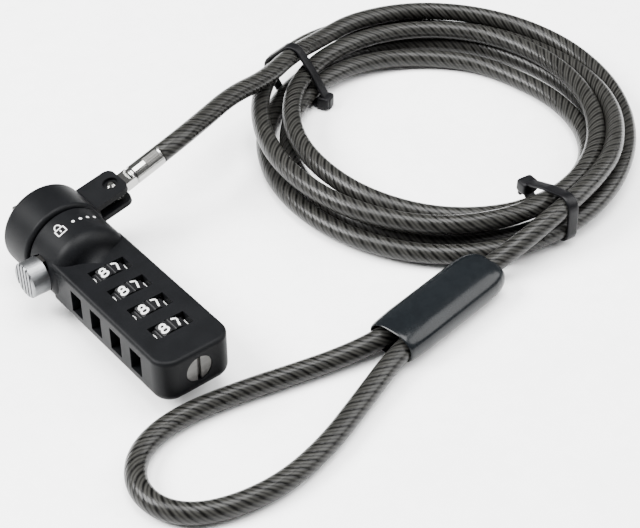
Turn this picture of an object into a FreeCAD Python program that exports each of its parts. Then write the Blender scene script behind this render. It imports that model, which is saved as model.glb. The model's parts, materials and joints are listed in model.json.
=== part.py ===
"""Laptop cable lock: a four-wheel combination lock on a coiled steel cable.

Millimetres. The lock's axis is Y, pointing out of its nose. The origin is the centre of the
nose's seat face, +Z is up, and the surface that the lock lies on is at z = -floor_depth.
"""
import FreeCAD, Part
import math
import os
import re

import Sketcher

Vector = FreeCAD.Vector
Rotation = FreeCAD.Rotation
Placement = FreeCAD.Placement

SIZES = {
    # lying surface and cable
    "floor_depth": 10.0,
    "cord_radius": 2.25,
    # nose: what enters and closes on the device's slot
    "seat_radius": 5.6,
    "pad_thickness": 0.8,
    "key_width": 2.6,
    "key_length": 6.4,
    "key_reach": 2.0,
    "neck_radius": 1.45,
    "head_length": 6.6,
    "head_width": 2.6,
    "head_rear": 2.8,
    "head_front": 5.0,
    "rotor_radius": 2.05,
    "rotor_rear": -13.4,
    "rotor_tail_radius": 1.5,
    "running_clearance": 0.06,
    "flange_radius": 7.6,
    "flange_front": -1.5,
    "flange_rear": -2.6,
    "neck_tube_radius": 6.0,
    "neck_tube_rear": -15.9,
    "seat_step": 0.4,
    "flange_bevel": 0.5,
    "key_gap": 0.3,
    "pad_hole_gap": 0.2,
    "pad_hole_half_depth": 2.0,
    "bar_clearance": 0.1,
    "head_round": 0.5,
    # crank on the rotor
    "crank_radius": 3.6,
    "crank_front": -13.6,
    "crank_rear": -15.8,
    "crank_offset": 1.6,
    "crank_pin_radius": 0.7,
    "crank_pin_rear": -18.5,
    "crank_room": 0.2,
    # swivel collar and clevis
    "collar_radius": 10.0,
    "collar_front": -2.9,
    "collar_rear": -12.7,
    "collar_edge": 0.9,
    "collar_tilt": 12.2,
    "ear_middle": -6.9,
    "ear_half_width": 4.2,
    "ear_tip": 18.9,
    "ear_corner": 1.9,
    "ear_half_height": 2.45,
    "ear_half_gap": 1.2,
    "gap_start": 10.4,
    "rivet_along": 16.35,
    "rivet_radius": 0.8,
    "rivet_head_radius": 1.05,
    "counterbore_radius": 1.8,
    "counterbore_depth": 0.75,
    "rivet_head_rise": 0.5,
    "rivet_head_side": 0.2,
    "rivet_head_bevel": 0.4,
    # ferrule, measured from the rivet along the cable
    "ferrule_turn": 5.3,
    "eye_radius": 2.9,
    "eye_thickness": 2.2,
    "tongue_width": 4.2,
    "ferrule_start": 4.5,
    "ferrule_radius": 2.3,
    "ferrule_waist": 2.1,
    "lead_straight": 6.0,
    "ferrule_end": 13.9,
    "waist_bevel": 0.3,
    "waist_end": 5.1,
    "ring_groove_depth": 0.25,
    "ring_groove_start": 5.3,
    "ring_groove_end": 5.7,
    "grip_start": 6.0,
    "ferrule_edge": 0.15,
    # case
    "case_half_width": 8.7,
    "case_top": 4.7,
    "case_bottom": -6.3,
    "case_end": -62.0,
    "case_corner": 4.0,
    "top_edge": 0.9,
    "bottom_edge": 2.4,
    "barrel_radius": 9.4,
    "barrel_front": -13.0,
    "barrel_rear": -21.3,
    "barrel_edge": 0.5,
    "slope_length": 6.6,
    # number wheels
    "wheel_first": -30.5,
    "wheel_pitch": 7.3,
    "wheel_axis": -0.1,
    "wheel_radius": 5.1,
    "wheel_thickness": 3.4,
    "wheel_room": 0.25,
    "window_length": 8.7,
    "window_width": 3.9,
    "side_low": -3.1,
    "side_high": 2.4,
    "flute_radius": 0.55,
    "flute_depth": 0.25,
    "sleeve_radius": 3.3,
    "sleeve_bore": 1.6,
    "keyway_width": 1.3,
    "keyway_depth": 0.9,
    "spindle_radius": 1.53,
    "spindle_front": -19.1,
    "spindle_rear": -57.5,
    "spindle_bore": 2.6,
    "lug_width": 1.0,
    "lug_height": 2.3,
    "lug_length": 0.8,
    "lug_gap": 0.3,
    "shoulder_radius": 2.35,
    "shoulder_front": -55.0,
    "shoulder_rear": -55.5,
    "chamber_radius": 2.95,
    "chamber_front": -54.85,
    "chamber_rear": -58.2,
    # code-change screw in the end face
    "screw_radius": 3.0,
    "screw_outer": -61.8,
    "screw_seat": -60.4,
    "screw_slot_width": 0.9,
    "screw_slot_depth": 0.7,
    "shank_radius": 2.0,
    "shank_end": -57.7,
    "clip_radius": 2.7,
    "clip_front": -57.85,
    "clip_rear": -58.15,
    # back plate
    "plate_half_width": 6.1,
    "plate_thickness": 0.65,
    "plate_front": -25.6,
    "plate_rear": -59.6,
    "plate_gap": 0.05,
    "leaf_half_width": 1.1,
    "leaf_thickness": 0.25,
    "leaf_bump": 0.24,
    "leaf_room": 0.1,
    "leaf_end_gap": 0.2,
    "plate_edge": 0.15,
    # push button and its slide
    "button_radius": 4.0,
    "button_middle": -17.5,
    "button_outer": -13.4,
    "button_inner": -9.3,
    "button_travel": 3.2,
    "button_gap": 0.1,
    "groove_width": 0.5,
    "groove_depth": 0.35,
    "groove_pitch": 1.3,
    "slide_half_thickness": 1.2,
    "slide_low": -2.0,
    "slide_high": 3.9,
    "slide_end": 1.0,
    "slot_half_width": 0.82,
    "slot_low": 0.75,
    "slot_high": 3.15,
    "spring_height": 0.9,
    "spring_bore": 1.4,
    "spring_wall": 8.0,
    "spring_wire": 0.18,
    "spring_slack": 0.05,
    "return_spring_radius": 1.1,
    "spindle_spring_radius": 1.85,
    "cap_bevel": 0.3,
    # coil of cable, seen from above: an oval ring
    "coil_x": 99.7,
    "coil_y": -24.1,
    "coil_turn": 51.0,
    "coil_outer_long": 52.0,
    "coil_outer_short": 46.4,
    "coil_inner_long": 36.5,
    "coil_inner_short": 33.0,
    "coil_top": -0.6,
    "coil_edge": 3.6,
    # loop sleeve and crimp
    "sleeve_x": 38.4,
    "sleeve_y": -75.4,
    "sleeve_z": -6.2,
    "sleeve_turn": 8.4,
    "sleeve_length": 33.0,
    "sleeve_half_height": 3.8,
    "sleeve_half_span": 2.4,
    "sleeve_hole": 2.55,
    "sleeve_edge": 2.2,
    "crimp_start": 9.0,
    "crimp_length": 13.0,
    "through": 60.0,
    "past": 1.0,
    # cable ties
    "tie_band": 0.8,
    "tie_half_breadth": 1.25,
    "tie_corner": 2.5,
    "tie_head": 3.6,
    "tie_head_overlap": 0.5,
    "tie_left_bearing": 116.0,
    "tie_left_inner": 30.8,
    "tie_left_outer": 48.4,
    "tie_left_top": 5.6,
    "tie_left_head": -7.0,
    "tie_right_bearing": -97.0,
    "tie_right_inner": 33.6,
    "tie_right_outer": 52.2,
    "tie_right_top": 3.4,
    "tie_right_head": -3.0,
}

doc = FreeCAD.newDocument("cable_lock")
sheet = doc.addObject("Spreadsheet::Sheet", "sizes")
for row, (alias, value) in enumerate(SIZES.items(), start=1):
    sheet.set(f"A{row}", alias)
    sheet.set(f"B{row}", str(value))
    sheet.setAlias(f"B{row}", alias)
doc.recompute()

WHEELS = 4
DIGITS = 10
BUTTON_SPRING_TURNS = 6
SPINDLE_SPRING_TURNS = 2
CAP_GROOVES = (-2, -1, 0, 1, 2)
ARC_SHARE = 0.45
subparts = []


CELL_NAME = r"\b(?:[a-z]+_[a-z_]+|past|through)\b"


def size(alias):
    """The value of one cell."""
    return float(sheet.get(alias))


def formula(text):
    """A FreeCAD expression from a sum of cell names and numbers."""
    return re.sub(CELL_NAME, lambda word: "sizes." + word.group(0), str(text))


def worth(text):
    """The value of the same kind of sum, for a sketch's first guess."""
    filled = re.sub(CELL_NAME, lambda word: f"({size(word.group(0))})", str(text))
    return doc.sizes.evalExpression(filled)


def bind(thing, **properties):
    """Ties each property to a sum of cells. Two underscores stand for a dot."""
    for name, text in properties.items():
        thing.setExpression(name.replace("__", "."), formula(text))
    return thing


def put(thing, x=0, y=0, z=0, turn=None):
    """Turns and places an object, with its place tied to the sheet."""
    if turn:
        thing.Placement = Placement(Vector(), turn)
    return bind(thing, Placement__Base__x=x, Placement__Base__y=y, Placement__Base__z=z)


def name_subpart(thing, label):
    """Gives the finished sub-part its label and adds it to the list."""
    thing.Label = label
    subparts.append(thing)
    return thing


ALONG_X = Rotation(Vector(0, 1, 0), 90)
ALONG_Y = Rotation(Vector(1, 0, 0), -90)
TILT = Rotation(Vector(0, 1, 0), -size("collar_tilt"))


def cylinder(name, radius, height, x=0, y=0, z=0, turn=None):
    """A cylinder whose height runs along the turned Z axis."""
    solid = doc.addObject("Part::Cylinder", name)
    bind(solid, Radius=radius, Height=height)
    return put(solid, x, y, z, turn)


def box(name, x_size, y_size, z_size, x=0, y=0, z=0):
    """A box, with x, y and z the place of its lowest corner."""
    solid = doc.addObject("Part::Box", name)
    bind(solid, Length=x_size, Width=y_size, Height=z_size)
    return put(solid, x, y, z)


def fuse(name, *shapes):
    """One solid out of several that touch."""
    joined = doc.addObject("Part::MultiFuse", name)
    joined.Shapes = list(shapes)
    joined.Refine = True
    return joined


def cut(name, base, *tools):
    """The base with each tool taken away."""
    rest = doc.addObject("Part::Cut", name)
    rest.Base = base
    rest.Tool = tools[0] if len(tools) == 1 else fuse(name + "_tools", *tools)
    return rest


def new_body(label):
    """A PartDesign body for one sub-part."""
    body = doc.addObject("PartDesign::Body", label)
    return name_subpart(body, label)


def plane(body, role):
    """One of the body's own origin planes or axes."""
    return next(part for part in body.Origin.OriginFeatures if part.Role == role)


def outline(body, name, role, points, lift=0):
    """A closed outline of straight lines, each corner tied to the sheet.

    points are pairs of sums of cells. lift moves the sketch along its plane's normal.
    """
    sketch = body.newObject("Sketcher::SketchObject", name)
    sketch.AttachmentSupport = [(plane(body, role), "")]
    sketch.MapMode = "FlatFace"
    bind(sketch, AttachmentOffset__Base__z=lift)
    corners = [Vector(worth(x), worth(y), 0) for x, y in points]
    for start, end in zip(corners, corners[1:] + corners[:1]):
        sketch.addGeometry(Part.LineSegment(start, end))
    for edge in range(len(points)):
        following = (edge + 1) % len(points)
        sketch.addConstraint(Sketcher.Constraint("Coincident", edge, 2, following, 1))
    for corner, texts in enumerate(points):
        for kind, text in zip(("DistanceX", "DistanceY"), texts):
            number = sketch.addConstraint(Sketcher.Constraint(kind, corner, 1, worth(text)))
            sketch.setExpression(f"Constraints[{number}]", formula(text))
    return sketch


def rings(body, name, role, circles):
    """A sketch of circles, each (x, y, radius) tied to the sheet."""
    sketch = body.newObject("Sketcher::SketchObject", name)
    sketch.AttachmentSupport = [(plane(body, role), "")]
    sketch.MapMode = "FlatFace"
    for number, (x, y, radius) in enumerate(circles):
        centre = Vector(worth(x), worth(y), 0)
        sketch.addGeometry(Part.Circle(centre, Vector(0, 0, 1), worth(radius)))
        for kind, text in (("DistanceX", x), ("DistanceY", y)):
            tied = sketch.addConstraint(Sketcher.Constraint(kind, number, 3, worth(text)))
            sketch.setExpression(f"Constraints[{tied}]", formula(text))
        tied = sketch.addConstraint(Sketcher.Constraint("Radius", number, worth(radius)))
        sketch.setExpression(f"Constraints[{tied}]", formula(radius))
    return sketch


def feature(body, kind, name, sketch, **properties):
    """A sketch-based feature. Text is a sum of cells, anything else is set as it is."""
    made = body.newObject("PartDesign::" + kind, name)
    made.Profile = sketch
    for key, value in properties.items():
        if isinstance(value, str) and key in ("Length", "Angle"):
            bind(made, **{key: value})
        else:
            setattr(made, key, value)
    doc.recompute()
    return made


def turned(body, name, points, kind="Revolution", lift=0):
    """Turns an outline in the XY plane about the Y axis."""
    sketch = outline(body, name + "_outline", "XY_Plane", points, lift)
    made = body.newObject("PartDesign::" + kind, name)
    made.Profile = sketch
    made.ReferenceAxis = (sketch, ["V_Axis"])
    made.Angle = 360
    doc.recompute()
    return made


def rounded(body, name, radius, wanted, kind="Fillet"):
    """Rounds or bevels the edges of the body's tip that pass the test."""
    tip = body.Tip
    edges = [f"Edge{i}" for i, edge in enumerate(tip.Shape.Edges, start=1) if wanted(edge)]
    made = body.newObject("PartDesign::" + kind, name)
    made.Base = (tip, edges)
    bind(made, **{"Radius" if kind == "Fillet" else "Size": radius})
    doc.recompute()
    return made


def level(edge, z):
    """Whether an edge lies flat at a height."""
    return abs(edge.BoundBox.ZMin - z) < 0.01 and abs(edge.BoundBox.ZMax - z) < 0.01


def upright(edge):
    """Whether an edge runs along Z only."""
    bounds = edge.BoundBox
    return bounds.XLength < 0.01 and bounds.YLength < 0.01


def along_y(edge):
    """Whether an edge runs along Y only."""
    bounds = edge.BoundBox
    return bounds.XLength < 0.01 and bounds.ZLength < 0.01


def rectangle(x_low, x_high, y_low, y_high):
    """The four corners of a rectangle."""
    return [(x_low, y_low), (x_high, y_low), (x_high, y_high), (x_low, y_high)]


def make_case():
    """The die-cast case: a flat box that runs into a round barrel, with its pockets and bores."""
    body = new_body("dial_case")
    plan = rectangle("-case_half_width", "case_half_width", "case_end", "barrel_rear")
    block = outline(body, "case_plan", "XY_Plane", plan, "case_bottom")
    feature(body, "Pad", "case_block", block, Length="case_top - case_bottom")
    rear = size("case_end")
    rounded(body, "case_corners", "case_corner",
            lambda edge: upright(edge) and edge.BoundBox.YMin < rear + 0.1)
    front = size("barrel_rear")
    for name, radius, height in (("case_top_edge", "top_edge", "case_top"),
                                 ("case_bottom_edge", "bottom_edge", "case_bottom")):
        rounded(body, name, radius,
                lambda edge: level(edge, size(height)) and edge.BoundBox.YMin < front - 0.1)
    make_barrel(body)
    make_wheel_pockets(body)
    recess = rectangle("-plate_half_width - plate_gap", "plate_half_width + plate_gap",
                       "plate_rear - plate_gap", "plate_front + plate_gap")
    plate = outline(body, "plate_recess_plan", "XY_Plane", recess, "case_bottom")
    feature(body, "Pocket", "plate_recess", plate, Length="plate_thickness", Reversed=True)
    channel = outline(body, "leaf_channel_plan", "XY_Plane",
                      rectangle("-leaf_half_width - leaf_room", "leaf_half_width + leaf_room",
                                "plate_rear + past", "plate_front - past"), "case_bottom + plate_thickness")
    feature(body, "Pocket", "leaf_channel", channel, Length="leaf_thickness + leaf_room", Reversed=True)
    turned(body, "spindle_bores", [
        ("0", "case_end - past"),
        ("screw_radius + running_clearance", "case_end - past"),
        ("screw_radius + running_clearance", "screw_seat"),
        ("shank_radius + running_clearance", "screw_seat"),
        ("shank_radius + running_clearance", "chamber_rear"),
        ("chamber_radius", "chamber_rear"),
        ("chamber_radius", "chamber_front"),
        ("spindle_bore", "chamber_front"),
        ("spindle_bore", "button_middle"),
        ("0", "button_middle"),
    ], "Groove", "wheel_axis")
    make_button_bores(body)


def make_barrel(body):
    """The round head, with a shoulder that runs out level with the case's top in one soft S.

    The S is two equal arcs, one bulging and one hollow, that meet halfway along the slope.
    """
    sketch = body.newObject("Sketcher::SketchObject", "barrel_outline")
    sketch.AttachmentSupport = [(plane(body, "XY_Plane"), "")]
    sketch.MapMode = "FlatFace"
    radius, front, rear = size("barrel_radius"), size("barrel_front"), size("barrel_rear")
    flat, length = size("case_top"), size("slope_length")
    drop = radius - flat
    foot = rear - length
    bend = (length ** 2 + drop ** 2) / (4 * drop)
    turn = 2 * math.atan(drop / length)
    sketch.addGeometry(Part.LineSegment(Vector(0, front, 0), Vector(radius, front, 0)))
    sketch.addGeometry(Part.LineSegment(Vector(radius, front, 0), Vector(radius, rear, 0)))
    bulge = Part.Circle(Vector(radius - bend, rear, 0), Vector(0, 0, 1), bend)
    sketch.addGeometry(Part.ArcOfCircle(bulge, -turn, 0))
    hollow = Part.Circle(Vector(flat + bend, foot, 0), Vector(0, 0, 1), bend)
    sketch.addGeometry(Part.ArcOfCircle(hollow, math.pi - turn, math.pi))
    sketch.addGeometry(Part.LineSegment(Vector(flat, foot, 0), Vector(0, foot, 0)))
    sketch.addGeometry(Part.LineSegment(Vector(0, foot, 0), Vector(0, front, 0)))
    for first, first_end, second, second_end in ((0, 2, 1, 1), (1, 2, 2, 2), (2, 1, 3, 1), (3, 2, 4, 1),
                                                 (4, 2, 5, 1), (5, 2, 0, 1)):
        sketch.addConstraint(Sketcher.Constraint("Coincident", first, first_end, second, second_end))
    for geometry, end, kind, text in ((0, 1, "DistanceX", "0"),
                                      (0, 1, "DistanceY", "barrel_front"),
                                      (1, 1, "DistanceX", "barrel_radius"),
                                      (1, 1, "DistanceY", "barrel_front"),
                                      (1, 2, "DistanceX", "barrel_radius"),
                                      (1, 2, "DistanceY", "barrel_rear"),
                                      (2, 1, "DistanceX", "barrel_radius / 2 + case_top / 2"),
                                      (2, 1, "DistanceY", "barrel_rear - slope_length / 2"),
                                      (2, 3, "DistanceY", "barrel_rear"),
                                      (3, 3, "DistanceY", "barrel_rear - slope_length"),
                                      (4, 1, "DistanceX", "case_top"),
                                      (4, 1, "DistanceY", "barrel_rear - slope_length"),
                                      (4, 2, "DistanceX", "0"),
                                      (4, 2, "DistanceY", "barrel_rear - slope_length")):
        number = sketch.addConstraint(Sketcher.Constraint(kind, geometry, end, worth(text)))
        sketch.setExpression(f"Constraints[{number}]", formula(text))
    barrel = body.newObject("PartDesign::Revolution", "barrel")
    barrel.Profile = sketch
    barrel.ReferenceAxis = (sketch, ["V_Axis"])
    barrel.Angle = 360
    doc.recompute()
    rounded(body, "barrel_front_edge", "barrel_edge",
            lambda edge: edge.BoundBox.YLength < 0.01 and abs(edge.BoundBox.YMin - front) < 0.01)
    socket = [("0", "barrel_front + past"), ("neck_tube_radius", "barrel_front + past"),
              ("neck_tube_radius", "neck_tube_rear"), ("0", "neck_tube_rear")]
    turned(body, "nose_socket", socket, "Groove")


def make_wheel_pockets(body):
    """For each wheel a round pocket, a window above, an opening below and one on each side."""
    near = "wheel_first - window_width / 2"
    far = "wheel_first + window_width / 2"
    pocket_radius = "wheel_radius + wheel_room"
    round_pocket = turned(body, "wheel_pocket",
                          rectangle("0", pocket_radius, near, far), "Groove", "wheel_axis")
    window = outline(body, "window_plan", "XY_Plane",
                     rectangle("-window_length / 2", "window_length / 2", near, far), "wheel_axis")
    window_cut = feature(body, "Pocket", "window", window, Length="case_top - wheel_axis + past",
                         Reversed=True)
    under = outline(body, "wheel_entry_plan", "XY_Plane",
                    rectangle("-" + pocket_radius.replace("+", "-"), pocket_radius, near, far), "wheel_axis")
    under_cut = feature(body, "Pocket", "wheel_entry", under,
                        Length="wheel_axis - case_bottom - plate_thickness / 2")
    sides = outline(body, "side_opening_plan", "YZ_Plane", rectangle(near, far, "side_low", "side_high"))
    side_cut = feature(body, "Pocket", "side_openings", sides, Length="2 * case_half_width + 2 * past",
                       Midplane=True)
    pattern = body.newObject("PartDesign::LinearPattern", "wheel_places")
    pattern.Originals = [round_pocket, window_cut, under_cut, side_cut]
    pattern.Direction = (plane(body, "Y_Axis"), [""])
    pattern.Reversed = True
    pattern.Occurrences = WHEELS
    bind(pattern, Length=f"{WHEELS - 1} * wheel_pitch")
    body.Tip = pattern
    doc.recompute()


def make_button_bores(body):
    """The button's bore from the left, the slide's channel and the spring's pocket."""
    bore = rings(body, "button_bore_plan", "YZ_Plane",
                 [("button_middle", "0", "button_radius + button_gap")])
    bind(bore, AttachmentOffset__Base__z="-barrel_radius - past")
    deep = "barrel_radius + past + button_inner + button_travel + button_gap"
    feature(body, "Pocket", "button_bore", bore, Length=deep, Reversed=True)
    channel = outline(body, "slide_channel_plan", "YZ_Plane",
                      rectangle("button_middle - slide_half_thickness - button_gap",
                                "neck_tube_rear + button_gap",
                                "slide_low - button_gap", "slide_high + button_gap"),
                      "button_inner")
    feature(body, "Pocket", "slide_channel", channel, Reversed=True,
            Length="slide_end - button_inner + button_travel + 2 * button_gap")
    pocket = rings(body, "spring_pocket_plan", "YZ_Plane",
                   [("button_middle", "spring_height", "spring_bore")])
    feature(body, "Pocket", "spring_pocket", pocket, Length="spring_wall", Reversed=True)


def make_back_cover():
    """The thin plate that closes the underside of the case."""
    body = new_body("back_cover")
    plan = outline(body, "back_cover_plan", "XY_Plane",
                   rectangle("-plate_half_width", "plate_half_width", "plate_rear", "plate_front"),
                   "case_bottom")
    feature(body, "Pad", "back_cover_plate", plan, Length="plate_thickness - plate_gap")
    rounded(body, "back_cover_edge", "plate_edge", lambda edge: level(edge, size("case_bottom")), "Chamfer")


def make_detent_spring():
    """A flat leaf spring under the wheels, with one bump in a flute of each wheel."""
    low = "case_bottom + plate_thickness"
    leaf = box("detent_leaf", "2 * leaf_half_width",
               f"{WHEELS - 1} * wheel_pitch + window_width - 2 * leaf_end_gap",
               "leaf_thickness", "-leaf_half_width",
               f"wheel_first - {WHEELS - 1} * wheel_pitch - window_width / 2 + leaf_end_gap", low)
    bumps = [cylinder(f"detent_bump_{i + 1}", "leaf_bump", "wheel_thickness / 2", 0,
                      f"wheel_first - {i} * wheel_pitch - wheel_thickness / 4",
                      low + " + leaf_thickness", ALONG_Y) for i in range(WHEELS)]
    name_subpart(fuse("detent_spring", leaf, *bumps), "detent_spring")


def make_wheel(number):
    """A number wheel: a ring with a flute between each two digits."""
    body = new_body(f"dial_wheel_{number}")
    tube = rings(body, f"wheel_{number}_rings", "XZ_Plane",
                 [("0", "0", "wheel_radius"), ("0", "0", "sleeve_radius")])
    feature(body, "Pad", f"wheel_{number}_ring", tube, Length="wheel_thickness", Midplane=True)
    flute = rings(body, f"wheel_{number}_flute_plan", "XZ_Plane",
                  [("0", "wheel_radius + flute_radius - flute_depth", "flute_radius")])
    groove = feature(body, "Pocket", f"wheel_{number}_flute", flute, Length="wheel_thickness + past",
                     Midplane=True)
    around = body.newObject("PartDesign::PolarPattern", f"wheel_{number}_flutes")
    around.Originals = [groove]
    around.Axis = (plane(body, "Y_Axis"), [""])
    around.Angle = 360
    around.Occurrences = DIGITS
    body.Tip = around
    doc.recompute()
    put(body, 0, f"wheel_first - {number - 1} * wheel_pitch", "wheel_axis")


def make_code_sleeve(number):
    """The hub inside a wheel, with the keyway that lets the spindle's lug pass."""
    middle = f"wheel_first - {number - 1} * wheel_pitch"
    start = middle + " - wheel_thickness / 2"
    hub = cylinder(f"hub_{number}", "sleeve_radius", "wheel_thickness", 0, start, "wheel_axis", ALONG_Y)
    bore = cylinder(f"hub_bore_{number}", "sleeve_bore", "wheel_thickness + 2 * past", 0, start + " - past",
                    "wheel_axis", ALONG_Y)
    keyway = box(f"hub_keyway_{number}", "keyway_width", "wheel_thickness + 2 * past",
                 "sleeve_bore + keyway_depth", "-keyway_width / 2", start + " - past", "wheel_axis")
    name_subpart(cut(f"code_sleeve_{number}", hub, bore, keyway), f"code_sleeve_{number}")


def make_spindle():
    """The locking spindle, with a lug behind each wheel and a shoulder for its spring."""
    rod = cylinder("spindle_rod", "spindle_radius", "spindle_front - spindle_rear", 0, "spindle_rear",
                   "wheel_axis", ALONG_Y)
    shoulder = cylinder("spindle_shoulder", "shoulder_radius", "shoulder_front - shoulder_rear", 0,
                        "shoulder_rear", "wheel_axis", ALONG_Y)
    lugs = [box(f"spindle_lug_{i + 1}", "lug_width", "lug_length", "lug_height", "-lug_width / 2",
                f"wheel_first - {i} * wheel_pitch - window_width / 2 - lug_gap - lug_length",
                "wheel_axis") for i in range(WHEELS)]
    name_subpart(fuse("spindle", rod, shoulder, *lugs), "spindle")


def make_spring(label, radius, wire, length, turns, place, turn):
    """A round-wire coil spring as a swept helix."""
    helix = Part.makeHelix(length / turns, length, radius)
    section = Part.Wire(Part.makeCircle(wire, Vector(radius, 0, 0), Vector(0, 1, 0)))
    spring = doc.addObject("Part::Feature", label)
    spring.Shape = Part.Wire(helix).makePipeShell([section], True, True)
    spring.Placement = Placement(place, turn)
    name_subpart(spring, label)


def make_springs():
    """The button's return spring and the spindle's short spring."""
    wire = size("spring_wire")
    margin = wire + size("spring_slack")
    start = size("slide_end") + margin
    make_spring("button_spring", size("return_spring_radius"), wire, size("spring_wall") - margin - start,
                BUTTON_SPRING_TURNS, Vector(start, size("button_middle"), size("spring_height")), ALONG_X)
    start = size("shank_end") + margin
    make_spring("spindle_spring", size("spindle_spring_radius"), wire,
                size("shoulder_rear") - margin - start, SPINDLE_SPRING_TURNS,
                Vector(0, start, size("wheel_axis")), ALONG_Y)


def make_reset_screw():
    """The slotted screw that lets the code be changed, and its retaining clip."""
    head = cylinder("screw_head", "screw_radius", "screw_seat - screw_outer", 0, "screw_outer",
                    "wheel_axis", ALONG_Y)
    shank = cylinder("screw_shank", "shank_radius", "shank_end - screw_seat", 0, "screw_seat",
                     "wheel_axis", ALONG_Y)
    slot = box("screw_slot", "screw_slot_width", "screw_slot_depth", "2 * screw_radius + 2 * past",
               "-screw_slot_width / 2", "screw_outer", "wheel_axis - screw_radius - past")
    name_subpart(cut("reset_screw", fuse("screw_blank", head, shank), slot), "reset_screw")
    ring = cylinder("clip_ring", "clip_radius", "clip_front - clip_rear", 0, "clip_rear", "wheel_axis",
                    ALONG_Y)
    hole = cylinder("clip_hole", "shank_radius", "clip_front - clip_rear + 2 * past", 0, "clip_rear - past",
                    "wheel_axis", ALONG_Y)
    gap = box("clip_gap", "2 * past", "2 * past", "clip_radius + past", "-past", "clip_rear - past",
              "wheel_axis")
    name_subpart(cut("reset_clip", ring, hole, gap), "reset_clip")


def make_nose_cap():
    """The nose: a tube that the collar turns on, a flange, and two fixed keys for the slot."""
    body = new_body("nose_cap")
    face = "-pad_thickness"
    turned(body, "nose_turning", [
        ("rotor_radius + running_clearance", face),
        ("seat_radius - seat_step", face),
        ("seat_radius - seat_step", "flange_front"),
        ("flange_radius - flange_bevel", "flange_front"),
        ("flange_radius", "flange_front - flange_bevel"),
        ("flange_radius", "flange_rear"),
        ("neck_tube_radius", "flange_rear"),
        ("neck_tube_radius", "neck_tube_rear"),
        ("crank_radius + crank_room", "neck_tube_rear"),
        ("crank_radius + crank_room", "crank_front + bar_clearance"),
        ("rotor_radius + running_clearance", "crank_front + bar_clearance"),
    ])
    for side, low, high in (("upper", "neck_radius + key_gap", "key_length / 2"),
                            ("lower", "-key_length / 2", "-neck_radius - key_gap")):
        key = outline(body, f"{side}_key_plan", "XZ_Plane",
                      rectangle("-key_width / 2", "key_width / 2", low, high), "pad_thickness")
        feature(body, "Pad", f"{side}_key", key, Length="key_reach + pad_thickness", Reversed=True)


def make_nose_pad():
    """The rubber washer that rests on the device, pierced for the keys and the T-bar."""
    disc = cylinder("pad_disc", "seat_radius", "pad_thickness", 0, "-pad_thickness", 0, ALONG_Y)
    hole = box("pad_hole", "key_width + 2 * pad_hole_gap", "2 * pad_hole_half_depth",
               "key_length + 2 * pad_hole_gap", "-key_width / 2 - pad_hole_gap", "-pad_hole_half_depth",
               "-key_length / 2 - pad_hole_gap")
    name_subpart(cut("nose_pad", disc, hole), "nose_pad")


def make_t_bar():
    """The turning T-bar, the crank disc pressed on its tail, and the crank pin."""
    shaft = cylinder("bar_shaft", "rotor_radius", "-pad_thickness - bar_clearance - rotor_rear", 0,
                     "rotor_rear", 0, ALONG_Y)
    tail = cylinder("bar_tail", "rotor_tail_radius", "rotor_rear - crank_rear", 0, "crank_rear", 0, ALONG_Y)
    neck = cylinder("bar_neck", "neck_radius", "head_rear + pad_thickness + bar_clearance", 0,
                    "-pad_thickness - bar_clearance", 0, ALONG_Y)
    head = box("bar_head", "head_length", "head_front - head_rear", "head_width", "-head_length / 2",
               "head_rear", "-head_width / 2")
    soft_head = doc.addObject("Part::Fillet", "bar_head_rounded")
    soft_head.Base = head
    doc.recompute()
    bend = size("head_round")
    soft_head.Edges = [(i, bend, bend) for i, edge in enumerate(head.Shape.Edges, start=1)
                       if edge.BoundBox.YMin > size("head_front") - 0.01 or along_y(edge)]
    name_subpart(fuse("t_bar", shaft, tail, neck, soft_head), "t_bar")
    depth = "crank_front - crank_rear + 2 * past"
    disc = cylinder("disc_blank", "crank_radius", "crank_front - crank_rear", 0, "crank_rear", 0, ALONG_Y)
    bore = cylinder("disc_bore", "rotor_tail_radius", depth, 0, "crank_rear - past", 0, ALONG_Y)
    seat = cylinder("disc_pin_seat", "crank_pin_radius", depth, "-crank_offset", "crank_rear - past",
                    "crank_offset", ALONG_Y)
    name_subpart(cut("crank_disc", disc, bore, seat), "crank_disc")
    pin = cylinder("crank_pin", "crank_pin_radius", "crank_front - crank_pin_rear", "-crank_offset",
                   "crank_pin_rear", "crank_offset", ALONG_Y)
    name_subpart(pin, "crank_pin")


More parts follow.
